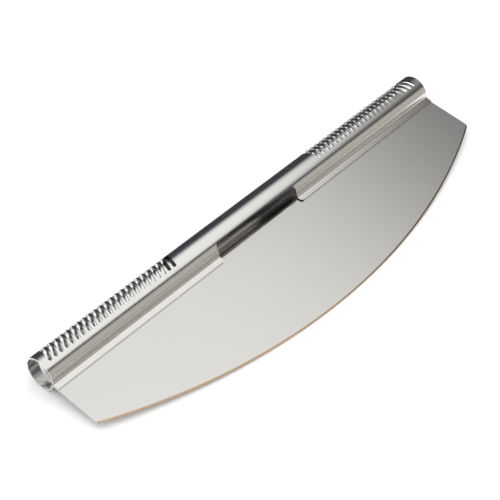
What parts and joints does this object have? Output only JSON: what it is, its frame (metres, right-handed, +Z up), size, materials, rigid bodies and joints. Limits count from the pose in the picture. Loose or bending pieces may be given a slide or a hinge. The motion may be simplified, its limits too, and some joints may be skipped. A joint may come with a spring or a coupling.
{
  "type": "rocking pizza knife",
  "caption": "Rocking pizza knife in stainless sheet: a wide curved blade hung under a rolled tube handle with slotted grip ends and a hanging opening.",
  "frame": {"origin": "Centre of the overall box in X and Y, on the table plane under the knife as it lies on its back: Z = 0 touches the tube handle and the lowest point of the cutting edge.", "axes": "X runs along the handle, Y runs from the cutting edge towards the handle, Z points up out of the blade's front face."},
  "size_m": [0.3556, 0.0969, 0.0222],
  "materials": {
    "blade_steel": "satin, faint grain along the handle, ground bevel at the edge",
    "handle_steel": "polished rolled stainless sheet",
    "weld_steel": "ground flush"
  },
  "bodies": {
    "root": {"blade": "blade_steel", "handle_tube": "handle_steel", "rear_seam_weld": "weld_steel", "lap_spot_welds_left": "weld_steel", "lap_spot_welds_right": "weld_steel"}
  },
  "joints": []
}
